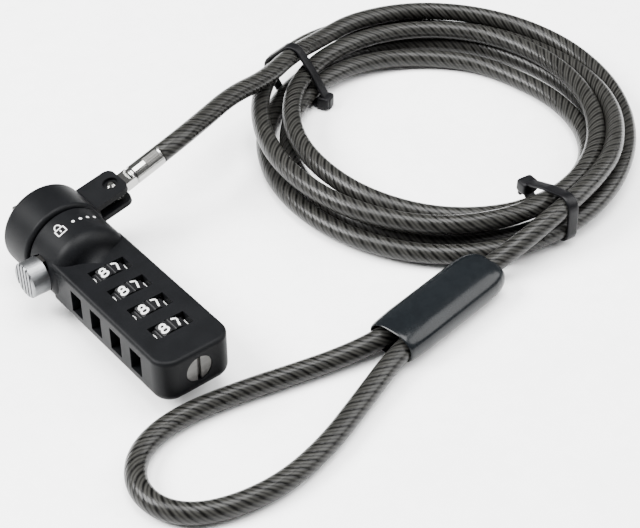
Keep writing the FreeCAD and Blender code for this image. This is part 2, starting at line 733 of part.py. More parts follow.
def make_collar():
    """The swivel collar with its two ears, tilted about the lock's axis as it lies."""
    body = new_body("swivel_collar")
    turned(body, "collar_ring", rectangle("neck_tube_radius", "collar_radius", "collar_rear",
                                          "collar_front"))
    rounded(body, "collar_edges", "collar_edge",
            lambda edge: edge.BoundBox.YLength < 0.01 and edge.BoundBox.XMax > size("collar_radius") - 0.01)
    arm = outline(body, "arm_plan", "XY_Plane",
                  rectangle("collar_radius / 2", "ear_tip", "ear_middle - ear_half_width",
                            "ear_middle + ear_half_width"))
    feature(body, "Pad", "arm", arm, Length="2 * ear_half_height", Midplane=True)
    tip = size("ear_tip")
    rounded(body, "ear_corners", "ear_corner", lambda edge: upright(edge) and edge.BoundBox.XMin > tip - 0.1)
    gap = outline(body, "ear_gap_plan", "XZ_Plane",
                  rectangle("gap_start", "ear_tip + past", "-ear_half_gap", "ear_half_gap"))
    feature(body, "Pocket", "ear_gap", gap, Length="through", Midplane=True)
    hole = rings(body, "rivet_hole_plan", "XY_Plane", [("rivet_along", "ear_middle", "rivet_radius")])
    feature(body, "Pocket", "rivet_hole", hole, Length="through", Midplane=True)
    for side, lift, backward in (("upper", "ear_half_height - counterbore_depth", True),
                                 ("lower", "-ear_half_height + counterbore_depth", False)):
        ring = rings(body, f"{side}_counterbore_plan", "XY_Plane",
                     [("rivet_along", "ear_middle", "counterbore_radius")])
        bind(ring, AttachmentOffset__Base__z=lift)
        feature(body, "Pocket", f"{side}_counterbore", ring, Length="counterbore_depth + past",
                Reversed=backward)
    turned(body, "collar_bore", rectangle("0", "neck_tube_radius + running_clearance", "collar_rear - past",
                                          "collar_front + past"), "Groove")
    body.Placement = Placement(Vector(), TILT)


def rivet_place():
    """Where the clevis rivet's middle is, after the collar's tilt."""
    return TILT.multVec(Vector(size("rivet_along"), size("ear_middle"), 0))


def make_rivet():
    """The clevis rivet, with a low head in each counterbore."""
    body = new_body("clevis_rivet")
    top = "ear_half_height - counterbore_depth"
    sketch = outline(body, "rivet_outline", "XZ_Plane", [
        ("0", "-ear_half_height + counterbore_depth - rivet_head_rise"),
        ("rivet_head_radius - rivet_head_bevel", "-ear_half_height + counterbore_depth - rivet_head_rise"),
        ("rivet_head_radius", "-ear_half_height + counterbore_depth - rivet_head_side"),
        ("rivet_head_radius", "-ear_half_height + counterbore_depth"),
        ("rivet_radius", "-ear_half_height + counterbore_depth"),
        ("rivet_radius", top),
        ("rivet_head_radius", top),
        ("rivet_head_radius", top + " + rivet_head_side"),
        ("rivet_head_radius - rivet_head_bevel", top + " + rivet_head_rise"),
        ("0", top + " + rivet_head_rise"),
    ])
    made = body.newObject("PartDesign::Revolution", "rivet_turning")
    made.Profile = sketch
    made.ReferenceAxis = (sketch, ["V_Axis"])
    made.Angle = 360
    doc.recompute()
    body.Placement = Placement(rivet_place(), TILT)


def ferrule_turn():
    """The turn of the ferrule and of the cable's first stretch."""
    return TILT.multiply(Rotation(Vector(0, 0, 1), size("ferrule_turn")))


def make_ferrule():
    """The steel end of the cable: an eye on the rivet, a tongue, and a barrel that meets the jacket."""
    body = new_body("cable_ferrule")
    sketch = outline(body, "ferrule_outline", "XY_Plane", [
        ("ferrule_start", "0"),
        ("ferrule_start", "ferrule_waist - waist_bevel"),
        ("ferrule_start + waist_bevel", "ferrule_waist"),
        ("waist_end", "ferrule_waist"),
        ("ring_groove_start", "ferrule_radius - ring_groove_depth"),
        ("ring_groove_end", "ferrule_radius - ring_groove_depth"),
        ("grip_start", "ferrule_radius"),
        ("ferrule_end - ferrule_edge", "ferrule_radius"),
        ("ferrule_end", "ferrule_radius - ferrule_edge"),
        ("ferrule_end", "0"),
    ])
    made = body.newObject("PartDesign::Revolution", "ferrule_turning")
    made.Profile = sketch
    made.ReferenceAxis = (sketch, ["H_Axis"])
    made.Angle = 360
    doc.recompute()
    tongue = outline(body, "tongue_plan", "XY_Plane",
                     rectangle("0", "ferrule_start + past", "-tongue_width / 2", "tongue_width / 2"))
    feature(body, "Pad", "tongue", tongue, Length="eye_thickness", Midplane=True)
    eye = rings(body, "eye_plan", "XY_Plane", [("0", "0", "eye_radius")])
    feature(body, "Pad", "eye", eye, Length="eye_thickness", Midplane=True)
    hole = rings(body, "eye_hole_plan", "XY_Plane", [("0", "0", "rivet_radius + running_clearance")])
    feature(body, "Pocket", "eye_hole", hole, Length="eye_thickness + 2 * past", Midplane=True)
    body.Placement = Placement(rivet_place(), ferrule_turn())


def make_button():
    """The push button's cap, with straight grooves across its end, and the slide behind it."""
    cap = cylinder("cap_blank", "button_radius", "button_inner - button_outer", "button_outer",
                   "button_middle", 0, ALONG_X)
    soft_cap = doc.addObject("Part::Chamfer", "cap_bevelled")
    soft_cap.Base = cap
    doc.recompute()
    bevel = size("cap_bevel")
    soft_cap.Edges = [(i, bevel, bevel) for i, edge in enumerate(cap.Shape.Edges, start=1)
                      if edge.BoundBox.XMax < size("button_outer") + 0.01]
    grooves = [box(f"cap_groove_{number}", "groove_depth + past", "groove_width", "3 * button_radius",
                   "button_outer - past", f"button_middle + {place} * groove_pitch - groove_width / 2",
                   "-1.5 * button_radius") for number, place in enumerate(CAP_GROOVES, start=1)]
    name_subpart(cut("push_button", soft_cap, *grooves), "push_button")
    slab = box("slide_slab", "slide_end - button_inner", "2 * slide_half_thickness",
               "slide_high - slide_low", "button_inner", "button_middle - slide_half_thickness",
               "slide_low")
    slot = box("slide_slot", "2 * slot_half_width",
               "2 * slide_half_thickness + 2 * past", "slot_high - slot_low",
               "-crank_offset - slot_half_width", "button_middle - slide_half_thickness - past", "slot_low")
    name_subpart(cut("button_slide", slab, slot), "button_slide")


def rounded_path(points):
    """A wire of straight runs joined by tangent arcs, and the arcs' radii.

    Each arc starts at the same share of the shorter of its two runs, so its radius is that reach
    over the tangent of half the turn.
    """
    edges, radii = [], []
    start = points[0]
    for before, corner, after in zip(points, points[1:], points[2:]):
        inward, outward = (corner - before).normalize(), (after - corner).normalize()
        half = inward.getAngle(outward) / 2
        reach = ARC_SHARE * min(before.distanceToPoint(corner), corner.distanceToPoint(after))
        radius = reach / math.tan(half)
        radii.append(radius)
        arc_start, arc_end = corner - inward * reach, corner + outward * reach
        toward = (outward - inward).normalize()
        middle = corner + toward * (radius / math.cos(half) - radius)
        edges.append(Part.LineSegment(start, arc_start).toShape())
        edges.append(Part.Arc(arc_start, middle, arc_end).toShape())
        start = arc_end
    edges.append(Part.LineSegment(start, points[-1]).toShape())
    return Part.Wire(edges), radii


def make_tube(label, points):
    """A stretch of the cable along a rounded path."""
    path, radii = rounded_path(points)
    radius = size("cord_radius")
    first = (points[1] - points[0]).normalize()
    section = Part.Wire(Part.makeCircle(radius, points[0], first))
    tube = doc.addObject("Part::Feature", label)
    tube.Shape = path.makePipeShell([section], True, False)
    name_subpart(tube, label)
    expected = math.pi * radius ** 2 * path.Length
    print(f"{label}: {path.Length:.1f} long, arc radii {[round(r, 1) for r in radii]}")
    print(f"{label}: volume {tube.Shape.Volume:.1f}, section times length {expected:.1f}")


LEAD_ROUTE = [(45.05, -0.82, 6.6), (56.91, 4.06, 5.9), (69.33, 8.97, 4.4), (82.0, 13.0, 2.6), (95.0, 15.9, 0.4),
              (107.0, 15.6, -2.2)]
LOOP_ROUTE = [(117.5, -61.6, -2.2), (107.5, -67.6, -0.2), (96.0, -70.6, 0.2), (84.5, -71.5, -1.8),
              (73.0, -71.2, -5.0), (65.0, -70.7, -5.8), (56.9, -70.35, -6.2), (46.0, -71.85, -6.2),
              (38.0, -72.8, -6.6), (28.0, -71.0, -7.6), (17.5, -68.5, -7.7), (7.0, -65.9, -7.75),
              (-3.5, -64.2, -7.7), (-12.2, -64.4, -7.75), (-19.3, -67.4, -7.7), (-23.6, -73.3, -7.75),
              (-23.7, -80.6, -7.7), (-19.3, -86.4, -7.75), (-11.2, -89.8, -7.7), (-0.6, -90.7, -7.75),
              (11.3, -88.3, -7.7), (24.0, -83.4, -7.6), (36.6, -78.7, -6.8), (46.7, -76.6, -6.2),
              (57.55, -75.0, -6.2)]


def make_cords():
    """The cable where it isn't coiled: the lead from the ferrule, and the tail with its loop."""
    direction = ferrule_turn().multVec(Vector(1, 0, 0))
    eye = rivet_place()
    start = size("ferrule_end")
    straight = [eye + direction * start, eye + direction * (start + size("lead_straight"))]
    make_tube("cable_lead", straight + [Vector(*point) for point in LEAD_ROUTE])
    make_tube("cable_loop", [Vector(*point) for point in LOOP_ROUTE])


def make_coil():
    """The coiled cable as one oval ring with round shoulders."""
    centre, up = Vector(0, 0, 0), Vector(0, 0, 1)
    faces = []
    for kind in ("outer", "inner"):
        oval = Part.Ellipse(centre, size(f"coil_{kind}_long"), size(f"coil_{kind}_short"))
        faces.append(Part.Face(Part.Wire(oval.toShape())))
    height = size("coil_top") + size("floor_depth")
    ring = faces[0].cut(faces[1]).extrude(up * height)
    edges = [edge for edge in ring.Edges if edge.BoundBox.ZLength < 0.01]
    coil = doc.addObject("Part::Feature", "cable_coil")
    coil.Shape = ring.makeFillet(size("coil_edge"), edges)
    coil.Placement = Placement(Vector(size("coil_x"), size("coil_y"), -size("floor_depth")),
                               Rotation(up, size("coil_turn")))
    name_subpart(coil, "cable_coil")


def slot_outline(body, name, radius, half_span, lift):
    """A flat-sided oval in the YZ plane: two half circles joined by straight lines."""
    sketch = body.newObject("Sketcher::SketchObject", name)
    sketch.AttachmentSupport = [(plane(body, "YZ_Plane"), "")]
    sketch.MapMode = "FlatFace"
    bind(sketch, AttachmentOffset__Base__z=lift)
    bend, reach = worth(radius), worth(half_span)
    for side, start in ((1, -math.pi / 2), (-1, math.pi / 2)):
        curve = Part.Circle(Vector(side * reach, 0, 0), Vector(0, 0, 1), bend)
        sketch.addGeometry(Part.ArcOfCircle(curve, start, start + math.pi))
    sketch.addGeometry(Part.LineSegment(Vector(reach, bend, 0), Vector(-reach, bend, 0)))
    sketch.addGeometry(Part.LineSegment(Vector(-reach, -bend, 0), Vector(reach, -bend, 0)))
    for first, first_end, second, second_end in ((0, 2, 2, 1), (2, 2, 1, 1), (1, 2, 3, 1), (3, 2, 0, 1)):
        sketch.addConstraint(Sketcher.Constraint("Tangent", first, first_end, second, second_end))
    for kind, number, text in (("DistanceX", 0, half_span), ("DistanceX", 1, f"-{half_span}"),
                               ("DistanceY", 0, "0")):
        tied = sketch.addConstraint(Sketcher.Constraint(kind, number, 3, worth(text)))
        sketch.setExpression(f"Constraints[{tied}]", formula(text))
    tied = sketch.addConstraint(Sketcher.Constraint("Radius", 0, bend))
    sketch.setExpression(f"Constraints[{tied}]", formula(radius))
    sketch.addConstraint(Sketcher.Constraint("Horizontal", 2))
    return sketch


def make_loop_sleeve():
    """The moulded sleeve over the crimp, and the crimp that closes the loop."""
    turn = Rotation(Vector(0, 0, 1), size("sleeve_turn"))
    start = Vector(size("sleeve_x"), size("sleeve_y"), size("sleeve_z"))
    body = new_body("loop_sleeve")
    skin = slot_outline(body, "sleeve_section", "sleeve_half_height", "sleeve_half_span", 0)
    feature(body, "Pad", "sleeve_skin", skin, Length="sleeve_length")
    rounded(body, "sleeve_edges", "sleeve_edge / 2", lambda edge: edge.BoundBox.XLength < 0.01)
    room = slot_outline(body, "sleeve_room_section", "sleeve_hole", "sleeve_half_span", "-past")
    feature(body, "Pocket", "sleeve_room", room, Length="sleeve_length + 2 * past", Reversed=True)
    body.Placement = Placement(start, turn)
    crimp = new_body("loop_crimp")
    shell = slot_outline(crimp, "crimp_section", "sleeve_hole", "sleeve_half_span", "crimp_start")
    feature(crimp, "Pad", "crimp_blank", shell, Length="crimp_length")
    holes = rings(crimp, "crimp_hole_plan", "YZ_Plane",
                  [("sleeve_half_span", "0", "cord_radius"), ("-sleeve_half_span", "0", "cord_radius")])
    feature(crimp, "Pocket", "crimp_holes", holes, Length="through", Midplane=True)
    crimp.Placement = Placement(start, turn)


def make_tie(side):
    """A cable tie: a flat band round the bundle, and its square head inside the coil.

    The tie's cells give its bearing, which is its angle about the coil's middle from +X, the band's
    distances from that middle, the band's top and the head's height.
    """
    label = f"cable_tie_{side}"
    body = new_body(label)
    inner, outer, top, head_low = (f"tie_{side}_{part}" for part in ("inner", "outer", "top", "head"))
    low, band = "-floor_depth", "tie_band"
    around = outline(body, label + "_outside", "XZ_Plane", rectangle(inner, outer, low, top))
    feature(body, "Pad", label + "_block", around, Length="2 * tie_half_breadth", Midplane=True)
    rounded(body, label + "_corners", "tie_corner", along_y)
    hole = outline(body, label + "_inside", "XZ_Plane",
                   rectangle(f"{inner} + {band}", f"{outer} - {band}", f"{low} + {band}", f"{top} - {band}"))
    feature(body, "Pocket", label + "_opening", hole, Length="through", Midplane=True)
    head_end = f"{inner} + tie_head_overlap"
    head = outline(body, label + "_head_plan", "XZ_Plane",
                   rectangle(f"{head_end} - tie_head", head_end, head_low, f"{head_low} + tie_head"))
    feature(body, "Pad", label + "_head", head, Length="tie_head", Midplane=True)
    turn = Rotation(Vector(0, 0, 1), size(f"tie_{side}_bearing"))
    body.Placement = Placement(Vector(size("coil_x"), size("coil_y"), 0), turn)


def make_ties():
    """The left tie, loose round the bundle and the lead, and the right one round the tail."""
    for side in ("left", "right"):
        make_tie(side)


make_case()
make_back_cover()
make_detent_spring()
for wheel in range(1, WHEELS + 1):
    make_wheel(wheel)
    make_code_sleeve(wheel)
make_spindle()
make_springs()
make_reset_screw()
make_nose_cap()
make_nose_pad()
make_t_bar()
make_collar()
make_rivet()
make_ferrule()
make_button()
make_cords()
make_coil()
make_loop_sleeve()
make_ties()
doc.recompute()

failed = [thing.Name for thing in doc.Objects if {"Invalid", "Error"} & set(thing.State)]
if failed:
    raise RuntimeError(f"these objects failed: {failed}")
broken = [part.Label for part in subparts if part.Shape.isNull() or not part.Shape.isValid()]
if broken:
    raise RuntimeError(f"these sub-parts have no valid shape: {broken}")

os.makedirs("parts", exist_ok=True)
for part in subparts:
    part.Shape.exportStep(f"parts/{part.Label}.step")
    print(f"{part.Label}: {len(part.Shape.Solids)} solid, volume {part.Shape.Volume:.1f}")
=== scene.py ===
"""The looks of a laptop cable lock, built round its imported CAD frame."""

import json
import logging
import math
from dataclasses import dataclass, field
from enum import Enum

import bpy
import numpy as np
from mathutils import Matrix


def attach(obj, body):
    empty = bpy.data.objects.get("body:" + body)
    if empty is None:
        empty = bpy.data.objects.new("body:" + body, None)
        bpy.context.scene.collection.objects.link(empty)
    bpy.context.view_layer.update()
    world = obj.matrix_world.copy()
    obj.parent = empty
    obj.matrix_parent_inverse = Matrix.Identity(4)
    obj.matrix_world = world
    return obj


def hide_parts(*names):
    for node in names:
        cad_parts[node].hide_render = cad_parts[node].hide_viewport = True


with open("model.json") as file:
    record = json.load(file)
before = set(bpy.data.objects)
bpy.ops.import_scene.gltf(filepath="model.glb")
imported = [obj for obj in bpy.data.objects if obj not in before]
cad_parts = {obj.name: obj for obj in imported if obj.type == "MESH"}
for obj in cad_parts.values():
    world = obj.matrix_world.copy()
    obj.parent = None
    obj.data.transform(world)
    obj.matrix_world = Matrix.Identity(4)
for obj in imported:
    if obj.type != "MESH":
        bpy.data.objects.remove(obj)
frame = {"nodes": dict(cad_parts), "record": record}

log = logging.getLogger("cable_lock")
MM = 0.001
WEAR_RANGE = (0.3, 0.7)
WEAR_SCALE = 90.0
BLOTCH_SCALE = 330.0
# power that sinks the lay tone into the grooves between strands: painted shade
LAY_GROOVE_SHADE_POWER = 2.6
LAY_TONE_FLOOR = 0.45


class Pattern(Enum):
    """How a finish varies over its surface."""

    GRAIN = "grain"
    BRUSHED = "brushed"
    LAY = "lay"


# ---------------------------------------------------------------- shader groups


def new_group(name: str, inputs: list, outputs: list) -> tuple:
    """Makes an empty shader node group with named sockets.

    Args:
        name: the group's name.
        inputs: (socket name, socket type, first value or None) of each input.
        outputs: (socket name, socket type) of each output.

    Returns:
        The group, its input node and its output node.
    """
    group = bpy.data.node_groups.new(name, "ShaderNodeTree")
    for label, kind, value in inputs:
        socket = group.interface.new_socket(label, in_out="INPUT", socket_type=kind)
        if value is not None:
            socket.default_value = value
    for label, kind in outputs:
        group.interface.new_socket(label, in_out="OUTPUT", socket_type=kind)
    return group, group.nodes.new("NodeGroupInput"), group.nodes.new("NodeGroupOutput")


def noise(group: bpy.types.NodeTree, vector: object, scale: object, detail: float) -> object:
    """Adds a noise texture.

    Args:
        group: the tree that it goes in.
        vector: the socket that gives its coordinate.
        scale: a socket or a number for its scale.
        detail: how many octaves it has.

    Returns:
        The socket with its value.
    """
    made = group.nodes.new("ShaderNodeTexNoise")
    made.inputs["Detail"].default_value = detail
    group.links.new(vector, made.inputs["Vector"])
    if isinstance(scale, (int, float)):
        made.inputs["Scale"].default_value = scale
    else:
        group.links.new(scale, made.inputs["Scale"])
    return made.outputs["Fac"]


def arithmetic(group: bpy.types.NodeTree, operation: str, *terms: object) -> object:
    """Adds a Math node.

    Args:
        group: the tree that it goes in.
        operation: the node's operation.
        terms: sockets or numbers, in order.

    Returns:
        The socket with its value.
    """
    made = group.nodes.new("ShaderNodeMath")
    made.operation = operation
    for socket, term in zip(made.inputs, terms):
        if isinstance(term, (int, float)):
            socket.default_value = term
        else:
            group.links.new(term, socket)
    return made.outputs[0]


def grain_group() -> bpy.types.NodeTree:
    """A fine pebble, with slow marks of handling over it.

    Returns:
        The node group, with Height, Tone and Wear outputs.
    """
    group, start, end = new_group(
        "fine_grain",
        [("Coordinate", "NodeSocketVector", None), ("Scale", "NodeSocketFloat", 3000.0)],
        [("Height", "NodeSocketFloat"), ("Tone", "NodeSocketFloat"), ("Wear", "NodeSocketFloat")],
    )
    place = start.outputs["Coordinate"]
    fine = noise(group, place, start.outputs["Scale"], 3.0)
    group.links.new(fine, end.inputs["Height"])
    tone = arithmetic(group, "MULTIPLY", fine, noise(group, place, 260.0, 4.0))
    group.links.new(arithmetic(group, "MULTIPLY", tone, 3.0), end.inputs["Tone"])
    group.links.new(noise(group, place, 70.0, 5.0), end.inputs["Wear"])
    return group


def brushed_group() -> bpy.types.NodeTree:
    """Fine scratches drawn out along one direction.

    Returns:
        The node group, with Height, Tone and Wear outputs.
    """
    group, start, end = new_group(
        "brushed_lines",
        [("Coordinate", "NodeSocketVector", None), ("Scale", "NodeSocketFloat", 1500.0)],
        [("Height", "NodeSocketFloat"), ("Tone", "NodeSocketFloat"), ("Wear", "NodeSocketFloat")],
    )
    stretch = group.nodes.new("ShaderNodeVectorMath")
    stretch.operation = "MULTIPLY"
    stretch.inputs[1].default_value = (0.06, 1.0, 1.0)
    group.links.new(start.outputs["Coordinate"], stretch.inputs[0])
    lines = noise(group, stretch.outputs[0], start.outputs["Scale"], 4.0)
    group.links.new(lines, end.inputs["Height"])
    group.links.new(lines, end.inputs["Tone"])
    group.links.new(noise(group, start.outputs["Coordinate"], 160.0, 4.0), end.inputs["Wear"])
    return group


def lay_group() -> bpy.types.NodeTree:
    """Twisted strands under a clear jacket, from a map of (turns of lay along, share of the way round).

    Strands lie where the two parts of the map add up to the same share of a turn, and each strand's
    wires are a finer count of the same sum. The strand pattern is real; its tone is painted shade and highlight:
    dark in the grooves between strands and wires, light on their crests, times a random blotch.

    Returns:
        The node group, with Height, Tone and Wear outputs.
    """
    group, start, end = new_group(
        "strand_lay",
        [("Coordinate", "NodeSocketVector", None), ("Scale", "NodeSocketFloat", 7.0)],
        [("Height", "NodeSocketFloat"), ("Tone", "NodeSocketFloat"), ("Wear", "NodeSocketFloat")],
    )
    split = group.nodes.new("ShaderNodeSeparateXYZ")
    group.links.new(start.outputs["Coordinate"], split.inputs[0])
    turn = arithmetic(group, "ADD", split.outputs[0], split.outputs[1])
    strands = start.outputs["Scale"]
    count = arithmetic(group, "MULTIPLY", turn, strands)
    half_turn = arithmetic(group, "MULTIPLY", count, math.pi)
    strand = arithmetic(group, "ABSOLUTE", arithmetic(group, "SINE", half_turn))
    full_turn = arithmetic(group, "MULTIPLY", half_turn, 2.0)
    wire = arithmetic(group, "ABSOLUTE", arithmetic(group, "SINE", full_turn))
    half_strand = arithmetic(group, "MULTIPLY", strand, 0.5)
    half_wire = arithmetic(group, "MULTIPLY", wire, 0.5)
    ridge = arithmetic(group, "ADD", half_strand, half_wire)
    group.links.new(ridge, end.inputs["Height"])
    object_place = group.nodes.new("ShaderNodeTexCoord").outputs["Object"]
    blotch = noise(group, object_place, BLOTCH_SCALE, 4.0)
    lifted = arithmetic(group, "ADD", blotch, LAY_TONE_FLOOR)
    # painted shade and highlight: tone falls steeply into the grooves between strands and wires and peaks on their
    # crests
    groove_shade_tone = arithmetic(group, "MULTIPLY", arithmetic(group, "POWER", ridge, LAY_GROOVE_SHADE_POWER), lifted)
    group.links.new(groove_shade_tone, end.inputs["Tone"])
    group.links.new(noise(group, object_place, WEAR_SCALE, 4.0), end.inputs["Wear"])
    return group


GROUP_MAKERS = {Pattern.GRAIN: grain_group, Pattern.BRUSHED: brushed_group, Pattern.LAY: lay_group}
groups: dict = {}


@dataclass(frozen=True)
class Finish:
    """A procedural material: two colours mixed by a pattern, with its own gloss and relief."""

    name: str
    low: tuple
    high: tuple
    roughness: tuple
    pattern: Pattern = Pattern.GRAIN
    scale: float = 3000.0
    relief: float = 0.1
    relief_depth: float = 0.00003
    metallic: float = 0.0
    coat: float = 0.0
    coat_roughness: float = 0.1
    specular: float = 0.5

    def material(self) -> bpy.types.Material:
        """Builds the material, or finds it if it is there.

        Returns:
            The material.
        """
        label = f"{self.name}_finish"
        if label in bpy.data.materials:
            return bpy.data.materials[label]
        if self.pattern not in groups:
            groups[self.pattern] = GROUP_MAKERS[self.pattern]()
        made = bpy.data.materials.new(label)
        made.use_nodes = True
        tree = made.node_tree
        shader = tree.nodes["Principled BSDF"]
        effect = tree.nodes.new("ShaderNodeGroup")
        effect.node_tree = groups[self.pattern]
        effect.inputs["Scale"].default_value = self.scale
        place = tree.nodes.new("ShaderNodeTexCoord")
        source = "UV" if self.pattern is Pattern.LAY else "Object"
        tree.links.new(place.outputs[source], effect.inputs["Coordinate"])
        colour = tree.nodes.new("ShaderNodeMix")
        colour.data_type = "RGBA"
        colour.inputs["A"].default_value = (*self.low, 1.0)
        colour.inputs["B"].default_value = (*self.high, 1.0)
        tree.links.new(effect.outputs["Tone"], colour.inputs["Factor"])
        tree.links.new(colour.outputs["Result"], shader.inputs["Base Color"])
        gloss = tree.nodes.new("ShaderNodeMapRange")
        gloss.inputs["From Min"].default_value = WEAR_RANGE[0]
        gloss.inputs["From Max"].default_value = WEAR_RANGE[1]
        gloss.inputs["To Min"].default_value = self.roughness[0]
        gloss.inputs["To Max"].default_value = self.roughness[1]
        tree.links.new(effect.outputs["Wear"], gloss.inputs["Value"])
        tree.links.new(gloss.outputs["Result"], shader.inputs["Roughness"])
        bump = tree.nodes.new("ShaderNodeBump")
        bump.inputs["Strength"].default_value = self.relief
        bump.inputs["Distance"].default_value = self.relief_depth
        tree.links.new(effect.outputs["Height"], bump.inputs["Height"])
        tree.links.new(bump.outputs["Normal"], shader.inputs["Normal"])
        shader.inputs["Metallic"].default_value = self.metallic
        shader.inputs["Specular IOR Level"].default_value = self.specular
        shader.inputs["Coat Weight"].default_value = self.coat
        shader.inputs["Coat Roughness"].default_value = self.coat_roughness
        return made


CASE_PAINT = Finish("case_paint", (0.0013, 0.0015, 0.0018), (0.0030, 0.0032, 0.0037), (0.40, 0.54), scale=5200.0,
                    relief=0.35, specular=0.06)
PAD_RUBBER = Finish("pad_rubber", (0.003, 0.003, 0.003), (0.008, 0.008, 0.008), (0.7, 0.85), relief=0.4, specular=0.08)
BRIGHT_STEEL = Finish("bright_steel", (0.22, 0.22, 0.21), (0.38, 0.38, 0.37), (0.10, 0.22), Pattern.BRUSHED, 900.0,
                      0.05, metallic=1.0)
SATIN_STEEL = Finish("satin_steel", (0.050, 0.050, 0.048), (0.105, 0.103, 0.098), (0.30, 0.42), Pattern.BRUSHED, 1400.0,
                     0.15, metallic=1.0)
SATIN_ALUMINIUM = Finish("satin_aluminium", (0.13, 0.135, 0.14), (0.23, 0.235, 0.24), (0.34, 0.46), Pattern.BRUSHED,
                         1800.0, 0.2, metallic=1.0)
SATIN_BRASS = Finish("satin_brass", (0.20, 0.14, 0.06), (0.36, 0.28, 0.14), (0.25, 0.38), Pattern.BRUSHED, 1200.0,
                     0.15, metallic=1.0)
SPRING_STEEL = Finish("spring_steel", (0.10, 0.10, 0.11), (0.22, 0.22, 0.23), (0.28, 0.40), Pattern.BRUSHED, 2400.0,
                      0.1, metallic=1.0)
WHEEL_PLASTIC = Finish("wheel_plastic", (0.002, 0.002, 0.0025), (0.005, 0.005, 0.0055), (0.30, 0.42), relief=0.15,
                       specular=0.1)
DIGIT_PRINT = Finish("digit_print", (0.42, 0.42, 0.41), (0.60, 0.60, 0.59), (0.45, 0.60), relief=0.1)
# the jacket's low colour is the painted shade in the strand grooves, its high colour the painted highlight on the
# crests
CABLE_JACKET = Finish("cable_jacket", (0.0006, 0.0006, 0.0005), (0.030, 0.0295, 0.027), (0.24, 0.34), Pattern.LAY, 6.0,
                      0.45, 0.00016, coat=0.05, coat_roughness=0.18, specular=0.12)
SLEEVE_PLASTIC = Finish("sleeve_plastic", (0.0020, 0.0026, 0.0032), (0.0042, 0.0052, 0.0062), (0.20, 0.30),
                        scale=1400.0, relief=0.08, coat=0.05, coat_roughness=0.12, specular=0.12)
TIE_NYLON = Finish("tie_nylon", (0.0012, 0.0012, 0.0015), (0.0036, 0.0036, 0.0042), (0.34, 0.48), scale=2200.0,
                   relief=0.2, specular=0.1)
FLOOR_PAPER = Finish("floor_paper", (0.86, 0.86, 0.86), (0.92, 0.92, 0.92), (0.7, 0.8), scale=60.0, relief=0.02,
                     specular=0.1)

SLOT_FINISHES = {
    "case_black": CASE_PAINT, "pad_rubber": PAD_RUBBER, "bright_steel": BRIGHT_STEEL,
    "satin_steel": SATIN_STEEL, "satin_aluminium": SATIN_ALUMINIUM, "satin_brass": SATIN_BRASS,
    "spring_steel": SPRING_STEEL, "wheel_plastic": WHEEL_PLASTIC, "cable_jacket": CABLE_JACKET,
    "sleeve_plastic": SLEEVE_PLASTIC, "tie_nylon": TIE_NYLON,
}


# ---------------------------------------------------------------- meshes


def unit(vectors: np.ndarray) -> np.ndarray:
    """Vectors divided by their lengths."""
    return vectors / np.linalg.norm(vectors, axis=-1, keepdims=True)


def lattice(rings: np.ndarray) -> tuple:
    """Joins rings of points into a skin of quads with its two ends closed.

    Each quad takes two neighbours on one ring and the same two on the next, and the ring's last
    point joins its first.

    Args:
        rings: points as (ring, place on the ring, xyz).

    Returns:
        The points as a flat list of rows, and the faces as lists of point numbers.
    """
    count, around = rings.shape[:2]
    row, column = np.meshgrid(np.arange(count - 1), np.arange(around), indexing="ij")
    beside = (column + 1) % around
    quads = np.stack([row * around + column, row * around + beside,
                      (row + 1) * around + beside, (row + 1) * around + column], axis=-1).reshape(-1, 4)
    points = rings.reshape(-1, 3)
    first, second = points[quads[:, 0]], points[quads[:, 1]]
    third, fourth = points[quads[:, 2]], points[quads[:, 3]]
    middle = points.mean(axis=0)
    flux = (np.cross(third - first, fourth - second) * (first - middle)).sum()
    ends = [list(range(around))[::-1], list(range((count - 1) * around, count * around))]
    if flux < 0:
        quads, ends = quads[:, ::-1], [end[::-1] for end in ends]
    return points, quads.tolist() + ends


def piece(name: str, parts: list, finish: Finish, body: str) -> bpy.types.Object:
    """Makes one mesh object from skins, gives it its finish and sets it on its body.

    Args:
        name: the piece's name.
        parts: (points in millimetres, faces) of each skin.
        finish: its finish.
        body: the CAD body that it moves with.

    Returns:
        The object.
    """
    points, faces, start = [], [], 0
    for skin, joined in parts:
        points.append(skin)
        faces += [[number + start for number in face] for face in joined]
        start += len(skin)
    mesh = bpy.data.meshes.new(name)
    mesh.from_pydata((np.concatenate(points) * MM).tolist(), [], faces)
    mesh.validate()
    mesh.polygons.foreach_set("use_smooth", np.ones(len(mesh.polygons), bool))
    mesh.update()
    made = bpy.data.objects.new(name, mesh)
    bpy.context.scene.collection.objects.link(made)
    mesh.materials.append(finish.material())
    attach(made, body)
    log.info("%s: %d faces", name, len(mesh.polygons))
    return made


# ---------------------------------------------------------------- cable


